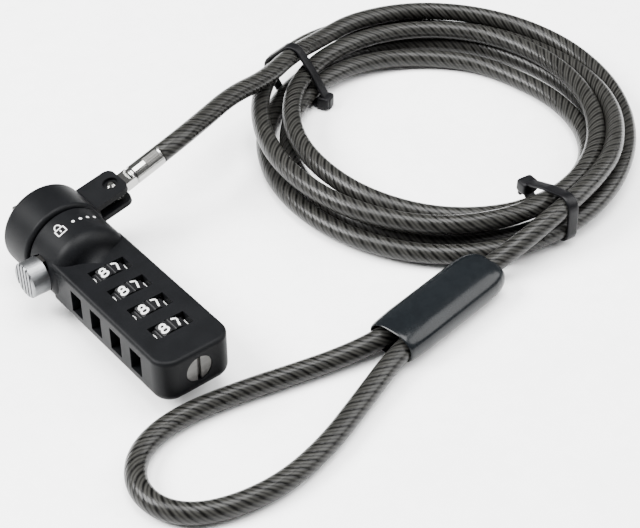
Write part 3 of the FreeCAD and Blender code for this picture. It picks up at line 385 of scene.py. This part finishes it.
@dataclass
class Cable:
    """The jacketed steel cable: from the ferrule, round the tied coil, to the crimped loop."""

    diameter: float = 4.5
    length_m: float = 1.455
    lay_pitch: float = 16.0
    around: int = 20
    steps: int = 24
    exit: tuple = (29.49, -5.61, 6.39)
    lead: tuple = ((29.49, -5.61, 6.39), (35.33, -5.05, 7.65), (45.05, -0.82, 6.6), (56.91, 4.06, 5.9),
                   (69.35, 7.24, 3.6), (81.99, 12.82, 2.85), (93.85, 16.47, 0.71))
    tail: tuple = ((107.5, -67.6, -0.2), (96.0, -70.6, 0.2), (84.5, -71.5, -1.8), (73.0, -71.2, -5.0),
                   (65.0, -70.7, -5.8), (56.9, -70.35, -6.2), (46.0, -71.85, -6.2), (38.0, -72.8, -6.6),
                   (28.0, -71.0, -7.6), (17.5, -68.5, -7.7), (7.0, -65.9, -7.75), (-3.5, -64.2, -7.7),
                   (-12.2, -64.4, -7.75), (-19.3, -67.4, -7.7), (-23.6, -73.3, -7.75), (-23.7, -80.6, -7.7),
                   (-19.3, -86.4, -7.75), (-11.2, -89.8, -7.7), (-0.6, -90.7, -7.75), (11.3, -88.3, -7.7),
                   (24.0, -83.4, -7.6), (36.6, -78.7, -6.8), (46.7, -76.6, -6.2), (57.55, -75.0, -6.2))
    centre: tuple = (99.7, -24.1)
    long_axis: float = 51.0
    oval: tuple = (38.8, 35.3)
    floor_line: float = -7.75
    first_bearing: float = 79.6
    turn_step: float = 24.0
    # (bearing, distance outside the oval, height over the floor turn), pass by pass, clockwise
    passes: tuple = (
        ((79.6, 5.7, 8.0), (60, 6.9, 7.0), (51, 8.8, 5.7), (6, 10.7, 3.6), (-39, 10.3, 2.5), (-64, 9.9, 2.4),
         (-80, 10.2, 2.1), (-97, 10.7, 1.7)),
        ((-129, 11.4, 0.7), (-175, 11.0, 0.4), (-219, 8.9, 0.2), (-244, 6.4, 0.1), (-262, 4.9, 0.0),
         (-280.4, 3.3, 0.0), (-309, 1.6, 0.0), (-354, 1.8, 0.0), (-399, 4.8, 0.0), (-440, 6.6, 0.0), (-457, 6.0, 0.0)),
        ((-489, 6.3, 0.0), (-535, 5.4, 0.3), (-579, 3.0, 0.9), (-604, 0.6, 1.3), (-622, -1.3, 1.4),
         (-640.4, -3.7, 1.0), (-669, -6.7, 0.0), (-714, -6.2, 0.0), (-759, -0.3, 0.2), (-800, 2.9, 1.9),
         (-817, 0.6, 2.9)),
        ((-835, 1.9, 3.5), (-849, 1.7, 4.1), (-895, 1.9, 6.0), (-939, 2.5, 5.8), (-964, 2.2, 5.6), (-982, 1.9, 5.1),
         (-1000.4, 1.6, 4.8), (-1029, 1.2, 4.4), (-1074, 1.0, 4.6), (-1119, 1.7, 5.3), (-1160, 3.7, 6.1),
         (-1177, 5.4, 6.0)),
        ((-1195, 6.3, 6.0), (-1209, 7.2, 5.9), (-1255, 9.2, 6.2), (-1299, 10.2, 6.7), (-1324, 10.3, 6.5),
         (-1342, 9.9, 5.8), (-1360.4, 8.9, 4.2), (-1389, 6.7, 1.0), (-1434, 5.6, 2.4), (-1479, 6.4, 5.7),
         (-1505, 7.3, 7.6)))

    def turns(self) -> np.ndarray:
        """The coil's points: steps of one angle clockwise, each at the oval's radius plus its offset.

        Returns:
            Points in millimetres.
        """
        keys = np.array([key for one_pass in self.passes for key in one_pass], float)
        travelled = self.first_bearing - keys[:, 0]
        at = np.arange(0.0, travelled[-1], self.turn_step)
        out, up = (np.interp(at, travelled, keys[:, column]) for column in (1, 2))
        bearing = np.radians(self.first_bearing - at)
        across = bearing - math.radians(self.long_axis)
        radius = 1 / np.hypot(np.cos(across) / self.oval[0], np.sin(across) / self.oval[1]) + out
        return np.stack([self.centre[0] + radius * np.cos(bearing), self.centre[1] + radius * np.sin(bearing),
                         self.floor_line + up], axis=1)

    def line(self) -> np.ndarray:
        """The cable's smooth line: a NURBS spline with the route's points as its control points.

        Returns:
            Points read from the spline, in metres.
        """
        route = np.concatenate([np.array(self.lead), self.turns(), np.array(self.tail)]) * MM
        curve = bpy.data.curves.new("cable_route", "CURVE")
        curve.dimensions = "3D"
        curve.resolution_u = self.steps
        spline = curve.splines.new("NURBS")
        spline.points.add(len(route) - 1)
        spline.points.foreach_set("co", np.column_stack([route, np.ones(len(route))]).ravel())
        spline.order_u = 3
        spline.use_endpoint_u = True
        holder = bpy.data.objects.new("cable_route", curve)
        mesh = bpy.data.meshes.new_from_object(holder)
        flat = np.zeros(len(mesh.vertices) * 3)
        mesh.vertices.foreach_get("co", flat)
        bpy.data.meshes.remove(mesh)
        bpy.data.objects.remove(holder)
        bpy.data.curves.remove(curve)
        return flat.reshape(-1, 3)

    def build(self, line: np.ndarray, pieces_on_it: list) -> bpy.types.Object:
        """The jacket: a circle carried along the line, with a map of lay turns and share of the way round.

        Args:
            line: the cable's line, in metres.
            pieces_on_it: the separate pieces that go with the cable; not used.

        Returns:
            The cable.
        """
        tangent = unit(np.gradient(line, axis=0))
        side = unit(np.cross(tangent, np.array([0.0, 0.0, 1.0])))
        up = np.cross(side, tangent)
        angle = np.linspace(0, 2 * math.pi, self.around, endpoint=False)[None, :, None]
        radius = self.diameter / 2 * MM
        rings = line[:, None] + radius * (np.cos(angle) * side[:, None] + np.sin(angle) * up[:, None])
        made = piece("cable", [lattice(rings / MM)], CABLE_JACKET, "cable")
        self.map_lay(made.data, line)
        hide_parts("cable_lead", "cable_coil", "cable_loop")
        return made

    def map_lay(self, mesh: bpy.types.Mesh, line: np.ndarray) -> None:
        """Writes the jacket's map: across is the arc length in lay turns, up is the share of the way round.

        Args:
            mesh: the jacket.
            line: its ring centres, in metres.
        """
        arc = np.concatenate([[0], np.cumsum(np.linalg.norm(np.diff(line, axis=0), axis=1))])
        numbers = np.zeros(len(mesh.loops), np.int64)
        mesh.loops.foreach_get("vertex_index", numbers)
        ring, place = numbers // self.around, numbers % self.around
        share = place / self.around
        quads = (len(line) - 1) * self.around * 4
        face_share = share[:quads].reshape(-1, 4)
        wraps = np.ptp(face_share, axis=1) > 0.5
        face_share[wraps] = np.where(face_share[wraps] < 0.5, face_share[wraps] + 1, face_share[wraps])
        share[:quads] = face_share.ravel()
        layer = mesh.uv_layers.new(name="lay")
        layer.data.foreach_set("uv", np.column_stack([arc[ring] / (self.lay_pitch * MM), share]).ravel())


# ---------------------------------------------------------------- pieces on the cable


@dataclass
class LoopSleeve:
    """The moulded sleeve over the crimp: an oval tube, open where the loop leaves, rounded over the tail."""

    start: tuple = (38.4, -75.4, -6.2)
    turn: float = 8.4
    length: float = 33.0
    half_width: float = 6.2
    half_height: float = 3.8
    squareness: float = 2.5
    recess: float = 6.0
    around: int = 72
    # (distance along, share of the full section), from the bottom of the opening, round its lip, to the tail
    profile: tuple = ((6.0, 0.02), (6.0, 0.4), (6.0, 0.76), (5.6, 0.80), (3.0, 0.81), (1.0, 0.82), (0.3, 0.84),
                      (0.0, 0.88), (0.2, 0.925), (0.8, 0.95), (2.5, 0.975), (6.0, 1.0), (12.0, 1.0), (20.0, 1.0),
                      (26.0, 1.0), (28.5, 0.985), (30.3, 0.94), (31.6, 0.87), (32.4, 0.78), (32.85, 0.67),
                      (33.0, 0.56), (33.0, 0.3), (33.0, 0.02))

    def build(self) -> bpy.types.Object:
        """The skin: a rounded oval whose size follows the profile along the sleeve's axis.

        Returns:
            The sleeve.
        """
        key = np.array(self.profile)
        fine = np.linspace(0, len(key) - 1, (len(key) - 1) * 4 + 1)
        along, share = (np.interp(fine, np.arange(len(key)), key[:, column]) for column in (0, 1))
        angle = np.linspace(0, 2 * math.pi, self.around, endpoint=False)
        power = 2 / self.squareness
        across = self.half_width * np.sign(np.cos(angle)) * np.abs(np.cos(angle)) ** power
        up = self.half_height * np.sign(np.sin(angle)) * np.abs(np.sin(angle)) ** power
        turn = math.radians(self.turn)
        forward, left = np.array([math.cos(turn), math.sin(turn), 0]), np.array([-math.sin(turn), math.cos(turn), 0])
        rings = (np.array(self.start) + along[:, None, None] * forward
                 + share[:, None, None] * (across[:, None] * left + up[:, None] * np.array([0, 0, 1.0])))
        made = piece("loop_sleeve_skin", [lattice(rings)], SLEEVE_PLASTIC, "cable")
        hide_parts("loop_sleeve")
        return made


@dataclass
class CableTie:
    """A nylon tie: a ribbon pulled round the bundle, its square head and the trimmed tail."""

    name: str
    node: str
    bearing: float
    head: tuple
    head_sizes: tuple = (1.7, 2.1, 1.6)
    centre: tuple = (99.7, -24.1)
    breadth: float = 2.7
    thickness: float = 0.8
    cable_radius: float = 2.25
    reach: float = 56.0
    lowest: float = -9.9
    floor: float = -9.95
    band_squareness: float = 0.4
    block_squareness: float = 0.35
    stub_half: tuple = (0.5, 1.2, 1.5)
    around: int = 96

    def place(self, radial: np.ndarray, along: np.ndarray, height: np.ndarray) -> np.ndarray:
        """Points from a distance out, a distance along the coil and a height.

        Args:
            radial: distances from the coil's middle.
            along: distances along the cable.
            height: heights.

        Returns:
            Points in the row frame, in millimetres.
        """
        turn = math.radians(self.bearing)
        out, beside = np.array([math.cos(turn), math.sin(turn), 0]), np.array([-math.sin(turn), math.cos(turn), 0])
        base = np.array([*self.centre, 0.0])
        return (base + radial[..., None] * out + along[..., None] * beside
                + height[..., None] * np.array([0, 0, 1.0]))

    def strands(self, line: np.ndarray) -> np.ndarray:
        """Where the cable's line crosses the tie's plane, on the tie's side of the coil.

        Args:
            line: the cable's line, in millimetres.

        Returns:
            Rows of (distance from the coil's middle, height).
        """
        turn = math.radians(self.bearing)
        away = line[:, :2] - np.array(self.centre)
        out = away @ np.array([math.cos(turn), math.sin(turn)])
        beside = away @ np.array([-math.sin(turn), math.cos(turn)])
        at = np.nonzero((beside[:-1] * beside[1:] <= 0) & (out[:-1] > 0) & (out[:-1] < self.reach))[0]
        share = beside[at] / (beside[at] - beside[at + 1])
        return np.stack([out[at] + share * (out[at + 1] - out[at]),
                         line[at, 2] + share * (line[at + 1, 2] - line[at, 2])], axis=1)

    def band(self, line: np.ndarray) -> tuple:
        """The ribbon: the tight outline round the strands' circles and the head, given a flat rounded section.

        In each direction the outline's point is the farthest strand's middle plus one radius, and
        the outline is then read again at even steps of its length.

        Args:
            line: the cable's line, in millimetres.

        Returns:
            Its points and faces.
        """
        middles = np.concatenate([self.strands(line), [[self.head[0], self.head[2]]]])
        radii = np.full(len(middles), self.cable_radius + self.thickness / 2 + 0.05)
        radii[-1] = self.thickness
        turn = np.linspace(0, 2 * math.pi, 720, endpoint=False)
        facing = np.stack([np.cos(turn), np.sin(turn)], axis=1)
        farthest = (facing @ middles.T + radii).argmax(axis=1)
        ring = middles[farthest] + radii[farthest, None] * facing
        ring[:, 1] = np.maximum(ring[:, 1], self.floor + self.thickness / 2)
        closed = np.concatenate([ring, ring[:1]])
        arc_length = np.concatenate([[0], np.cumsum(np.linalg.norm(np.diff(closed, axis=0), axis=1))])
        steps = np.linspace(0, arc_length[-1], self.around, endpoint=False)
        ring = np.stack([np.interp(steps, arc_length, closed[:, column]) for column in (0, 1)], axis=1)
        tangent = unit(np.roll(ring, -1, axis=0) - np.roll(ring, 1, axis=0))
        outward = np.stack([tangent[:, 1], -tangent[:, 0]], axis=1)
        angle = np.linspace(0, 2 * math.pi, 16, endpoint=False)
        wide = self.breadth / 2 * np.sign(np.cos(angle)) * np.abs(np.cos(angle)) ** self.band_squareness
        thick = self.thickness / 2 * np.sign(np.sin(angle)) * np.abs(np.sin(angle)) ** self.band_squareness
        flat = ring[:, None] + thick[None, :, None] * outward[:, None]
        rings = self.place(flat[..., 0], np.broadcast_to(wide, flat.shape[:2]), flat[..., 1])
        count, sides = rings.shape[:2]
        points, faces = lattice(np.concatenate([rings, rings[:1]]))
        joined = [[number % (count * sides) for number in face] for face in faces[:-2]]
        return points[:count * sides], joined

    def block(self, middle: tuple, sizes: tuple) -> tuple:
        """A rounded block: a ball whose three coordinates are each raised to a low power.

        Args:
            middle: its middle as (distance out, distance along, height).
            sizes: its half sizes in the same order.

        Returns:
            Its points and faces.
        """
        latitude = np.linspace(-math.pi / 2 + 0.02, math.pi / 2 - 0.02, 25)[:, None]
        longitude = np.linspace(0, 2 * math.pi, 40, endpoint=False)[None, :]
        shape = [np.cos(latitude) * np.cos(longitude), np.cos(latitude) * np.sin(longitude),
                 np.sin(latitude) * np.ones_like(longitude)]
        squared = [np.sign(value) * np.abs(value) ** self.block_squareness for value in shape]
        spread = [middle[i] + sizes[i] * squared[i] for i in range(3)]
        return lattice(self.place(*spread))

    def build(self, line: np.ndarray) -> bpy.types.Object:
        """The tie as one piece.

        Args:
            line: the cable's line, in millimetres.

        Returns:
            The tie.
        """
        out, along, height = self.head
        stub = (out - 1.4, along, max(height - 1.9, self.lowest + self.stub_half[2]))
        parts = [self.band(line), self.block(self.head, self.head_sizes), self.block(stub, self.stub_half)]
        made = piece(self.name, parts, TIE_NYLON, "cable")
        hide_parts(self.node)
        return made


@dataclass
class FerruleGrip:
    """The knurled patch that the crimping jaws leave on the ferrule."""

    start: tuple = (15.976, -6.9, 3.46)
    direction: tuple = (0.9731, 0.0929, 0.2107)
    first: float = 9.3
    last: float = 13.3
    radius: float = 2.32
    half_angle: float = 30.0
    middle_angle: float = 62.0
    teeth: tuple = (8, 5)
    depth: float = 0.07

    def build(self) -> bpy.types.Object:
        """The patch: a strip of the ferrule's cylinder, raised by the product of two waves, with a skirt below.

        Returns:
            The patch.
        """
        rows, columns = 97, 49
        along = np.linspace(0, 1, rows)[:, None]
        round_it = np.linspace(0, 1, columns)[None, :]
        wave = np.abs(np.sin(math.pi * self.teeth[0] * along)) * np.abs(np.sin(math.pi * self.teeth[1] * round_it))
        edge = np.minimum(np.minimum(along, 1 - along) * 12, np.minimum(round_it, 1 - round_it) * 12).clip(0, 1)
        raised = self.radius + self.depth * (0.25 + wave) * edge
        angle = np.radians(self.middle_angle + self.half_angle * (2 * round_it - 1))
        axis = unit(np.array(self.direction))
        side = unit(np.cross(axis, np.array([0, 0, 1.0])))
        up = np.cross(side, axis)

        def shell(radius: np.ndarray) -> np.ndarray:
            """Points at that radius over the patch."""
            centre = np.array(self.start) + (self.first + (self.last - self.first) * along)[..., None] * axis
            return centre + radius[..., None] * (np.cos(angle)[..., None] * side + np.sin(angle)[..., None] * up)

        top, bottom = shell(raised), shell(np.full((rows, columns), self.radius - 0.3))
        rings = np.concatenate([top, bottom[:, ::-1]], axis=1)
        return piece("ferrule_grip", [lattice(rings)], SATIN_STEEL, "cable")


# ---------------------------------------------------------------- printed marks


def arc(x: float, y: float, wide: float, high: float, first: float, last: float) -> np.ndarray:
    """Points on an ellipse from one angle to another, in degrees."""
    angle = np.radians(np.linspace(first, last, 33))
    return np.stack([x + wide * np.cos(angle), y + high * np.sin(angle)], axis=1)


def straight(*corners: tuple) -> np.ndarray:
    """Points along a straight stroke, from one corner to the other."""
    share = np.linspace(0, 1, 9)[:, None]
    return np.array(corners[0]) * (1 - share) + np.array(corners[1]) * share


DIGIT_STROKES = {
    0: [arc(0, 0, 0.29, 0.46, 0, 360)],
    1: [straight((-0.16, 0.3), (0.05, 0.46)), straight((0.05, 0.5), (0.05, -0.5))],
    2: [arc(0, 0.2, 0.28, 0.27, 170, -35),
        straight((0.23, 0.06), (-0.28, -0.45)),
        straight((-0.3, -0.46), (0.3, -0.46))],
    3: [arc(-0.02, 0.23, 0.26, 0.23, 150, -90), arc(-0.02, -0.23, 0.29, 0.24, 90, -150)],
    4: [straight((0.1, 0.46), (-0.29, -0.18)),
        straight((-0.3, -0.2), (0.32, -0.2)),
        straight((0.12, 0.48), (0.12, -0.5))],
    5: [straight((0.25, 0.46), (-0.2, 0.46)),
        straight((-0.2, 0.46), (-0.25, 0.02)),
        arc(0, -0.17, 0.29, 0.29, 135, -140)],
    6: [arc(0, -0.19, 0.28, 0.28, 0, 360), arc(0.2, -0.14, 0.48, 0.62, 180, 102)],
    7: [straight((-0.28, 0.46), (0.3, 0.46)), straight((0.28, 0.44), (-0.06, -0.5))],
    8: [arc(0, 0.23, 0.23, 0.23, 0, 360), arc(0, -0.22, 0.29, 0.25, 0, 360)],
    9: [arc(0, 0.19, 0.28, 0.28, 0, 360), arc(-0.2, 0.14, 0.48, 0.62, 0, -78)],
}


@dataclass
class Print:
    """Raised print on a cylinder that lies along the lock's length."""

    radius: float
    axis_height: float
    stroke: float
    rise: float = 0.035

    def ribbon(self, line: np.ndarray, along: float, turn: float) -> tuple:
        """One stroke: a low rounded section carried along the line and wrapped round the cylinder.

        Args:
            line: the stroke's points as (across, up) in millimetres.
            along: the mark's place along the lock.
            turn: its angle from the top, towards the button's side, in degrees.

        Returns:
            Its points and faces.
        """
        tangent = unit(np.gradient(line, axis=0))
        normal = np.stack([-tangent[:, 1], tangent[:, 0]], axis=1)
        half = self.stroke / 2
        offset = np.array([-1, -0.97, -0.7, 0, 0.7, 0.97, 1, 0.7, -0.7]) * half
        height = np.array([-0.25, 0.6, 1, 1, 1, 0.6, -0.25, -1.5, -1.5]) * self.rise
        flat = line[:, None] + offset[None, :, None] * normal[:, None]
        angle = math.radians(turn) - flat[..., 0] / self.radius
        radius = self.radius + height[None, :]
        rings = np.stack([-radius * np.sin(angle), along + flat[..., 1],
                          self.axis_height + radius * np.cos(angle)], axis=-1)
        return lattice(rings)


@dataclass
class Dials:
    """The printed digits of the four number wheels."""

    first: float = -30.5
    pitch: float = 7.3
    count: int = 4
    axis: float = -0.1
    radius: float = 5.1
    digit_height: float = 2.5
    digit_step: float = 36.0
    shown: int = 8
    shown_turn: float = 18.0
    stroke: float = 0.48

    def build(self) -> list:
        """One piece of ten digits for each wheel.

        Returns:
            The pieces.
        """
        press = Print(self.radius, self.axis, self.stroke)
        made = []
        for wheel in range(self.count):
            along = self.first - wheel * self.pitch
            strokes = [press.ribbon(line * self.digit_height, along,
                                    self.shown_turn + self.digit_step * (digit - self.shown))
                       for digit, lines in DIGIT_STROKES.items() for line in lines]
            made.append(piece(f"wheel_digits_{wheel + 1}", strokes, DIGIT_PRINT, f"dial_{wheel + 1}"))
        return made


@dataclass
class BarrelMark:
    """A generic padlock sign and a row of four dots, printed on the round head."""

    radius: float = 9.4
    along: float = -17.0
    sign_turn: float = 22.0
    sign_scale: float = 1.3
    first_dot: float = 1.0
    dot_step: float = 11.0
    stroke: float = 0.26
    rise: float = 0.02

    def build(self) -> bpy.types.Object:
        """The sign: a square body, a bowed shackle and a keyhole bar, then the dots.

        Returns:
            The piece.
        """
        press = Print(self.radius, 0.0, self.stroke, self.rise)
        body = [straight((-0.85, 0.1), (0.85, 0.1)), straight((0.85, 0.1), (0.85, -1.2)),
                straight((0.85, -1.2), (-0.85, -1.2)), straight((-0.85, -1.2), (-0.85, 0.1))]
        sign = [*body, arc(0, 0.25, 0.55, 0.85, 0, 180), straight((0, -0.3), (0, -0.8))]
        strokes = [press.ribbon(line * self.sign_scale, self.along, self.sign_turn) for line in sign]
        strokes += [press.ribbon(arc(0, -0.3, 0.22, 0.22, 0, 360), self.along, self.first_dot - self.dot_step * i)
                    for i in range(4)]
        return piece("barrel_mark", strokes, DIGIT_PRINT, "case")


# ---------------------------------------------------------------- frame, stage, camera


def dress_frame() -> None:
    """Gives each CAD node the finish of its material slot."""
    slots = {part["node"]: part["material_slot"] for part in frame["record"]["subparts"]}
    for name, node in frame["nodes"].items():
        finish = SLOT_FINISHES[slots[name]].material()
        for place in node.material_slots:
            place.material = finish
        if not node.material_slots:
            node.data.materials.append(finish)


@dataclass
class Studio:
    """A pale floor, soft lights and the camera."""

    floor: float = -10.05
    camera_place: tuple = (-119.98, -248.10, 213.19)
    heading: tuple = (0.6288, 0.7776)
    dip: float = 40.232
    lens: float = 87.2
    sensor: float = 36.0
    # (name, place, size, power in watts)
    lamps: tuple = (("key", (-420, 260, 520), 360, 22.0), ("top", (60, -40, 700), 500, 16.0),
                    ("fill", (500, -300, 420), 500, 8.0))
    world_light: float = 0.3
    aim: tuple = (50.0, -30.0, 0.0)

    def build(self) -> None:
        """Makes the camera, the floor and the lights."""
        self.make_camera()
        grid = np.array([(x, y, self.floor) for x, y in ((-3000, -3000), (3000, -3000), (3000, 3000), (-3000, 3000))])
        mesh = bpy.data.meshes.new("floor")
        mesh.from_pydata((grid * MM).tolist(), [], [[0, 1, 2, 3]])
        mesh.materials.append(FLOOR_PAPER.material())
        floor = bpy.data.objects.new("floor", mesh)
        bpy.context.scene.collection.objects.link(floor)
        for name, place, size, power in self.lamps:
            self.make_lamp(name, place, size, power)
        world = bpy.data.worlds.new("studio")
        world.use_nodes = True
        world.node_tree.nodes["Background"].inputs["Color"].default_value = (1.0, 1.0, 1.0, 1.0)
        world.node_tree.nodes["Background"].inputs["Strength"].default_value = self.world_light
        bpy.context.scene.world = world

    def make_camera(self) -> None:
        """The camera: right, up and backward axes worked out from its heading and dip."""
        dip = math.radians(self.dip)
        east, north = self.heading
        forward = np.array([east * math.cos(dip), north * math.cos(dip), -math.sin(dip)])
        right = unit(np.cross(forward, np.array([0, 0, 1.0])))
        up = np.cross(right, forward)
        data = bpy.data.cameras.new("camera")
        data.lens, data.sensor_width = self.lens, self.sensor
        data.clip_start, data.clip_end = 0.01, 20.0
        camera = bpy.data.objects.new("camera", data)
        place = Matrix(np.column_stack([right, up, -forward]).tolist()).to_4x4()
        place.translation = [value * MM for value in self.camera_place]
        camera.matrix_world = place
        bpy.context.scene.collection.objects.link(camera)
        bpy.context.scene.camera = camera

    def make_lamp(self, name: str, place: tuple, size: float, power: float) -> None:
        """A square soft light that points at the middle of the object.

        Args:
            name: its name.
            place: where it stands, in millimetres.
            size: its side, in millimetres.
            power: its power in watts.
        """
        data = bpy.data.lights.new(name, "AREA")
        data.size, data.energy = size * MM, power
        lamp = bpy.data.objects.new(name, data)
        back = unit(np.array(place, float) - np.array(self.aim))
        right = unit(np.cross(np.array([0, 0, 1.0]), back))
        turned = Matrix(np.column_stack([right, np.cross(back, right), back]).tolist()).to_4x4()
        turned.translation = [value * MM for value in place]
        lamp.matrix_world = turned
        bpy.context.scene.collection.objects.link(lamp)


@dataclass
class CableLock:
    """The whole object."""

    studio: Studio = field(default_factory=Studio)
    cable: Cable = field(default_factory=Cable)
    sleeve: LoopSleeve = field(default_factory=LoopSleeve)
    grip: FerruleGrip = field(default_factory=FerruleGrip)
    dials: Dials = field(default_factory=Dials)
    mark: BarrelMark = field(default_factory=BarrelMark)
    ties: tuple = (CableTie("tie_left", "cable_tie_left", 116.0, (31.6, 0.0, -8.2)),
                   CableTie("tie_right", "cable_tie_right", -97.0, (33.4, 0.0, -3.2)))

    def build(self) -> None:
        """Builds and dresses every sub-assembly, camera and cable first."""
        self.studio.build()
        sleeve = self.sleeve.build()
        line = self.cable.line()
        ties = [tie.build(line / MM) for tie in self.ties]
        self.cable.build(line, [sleeve, *ties])
        dress_frame()
        self.grip.build()
        self.dials.build()
        self.mark.build()


def main() -> None:
    """Builds the lock."""
    logging.basicConfig(level=logging.INFO)
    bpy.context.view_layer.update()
    CableLock().build()
    bpy.context.view_layer.update()


if __name__ == "__main__":
    main()
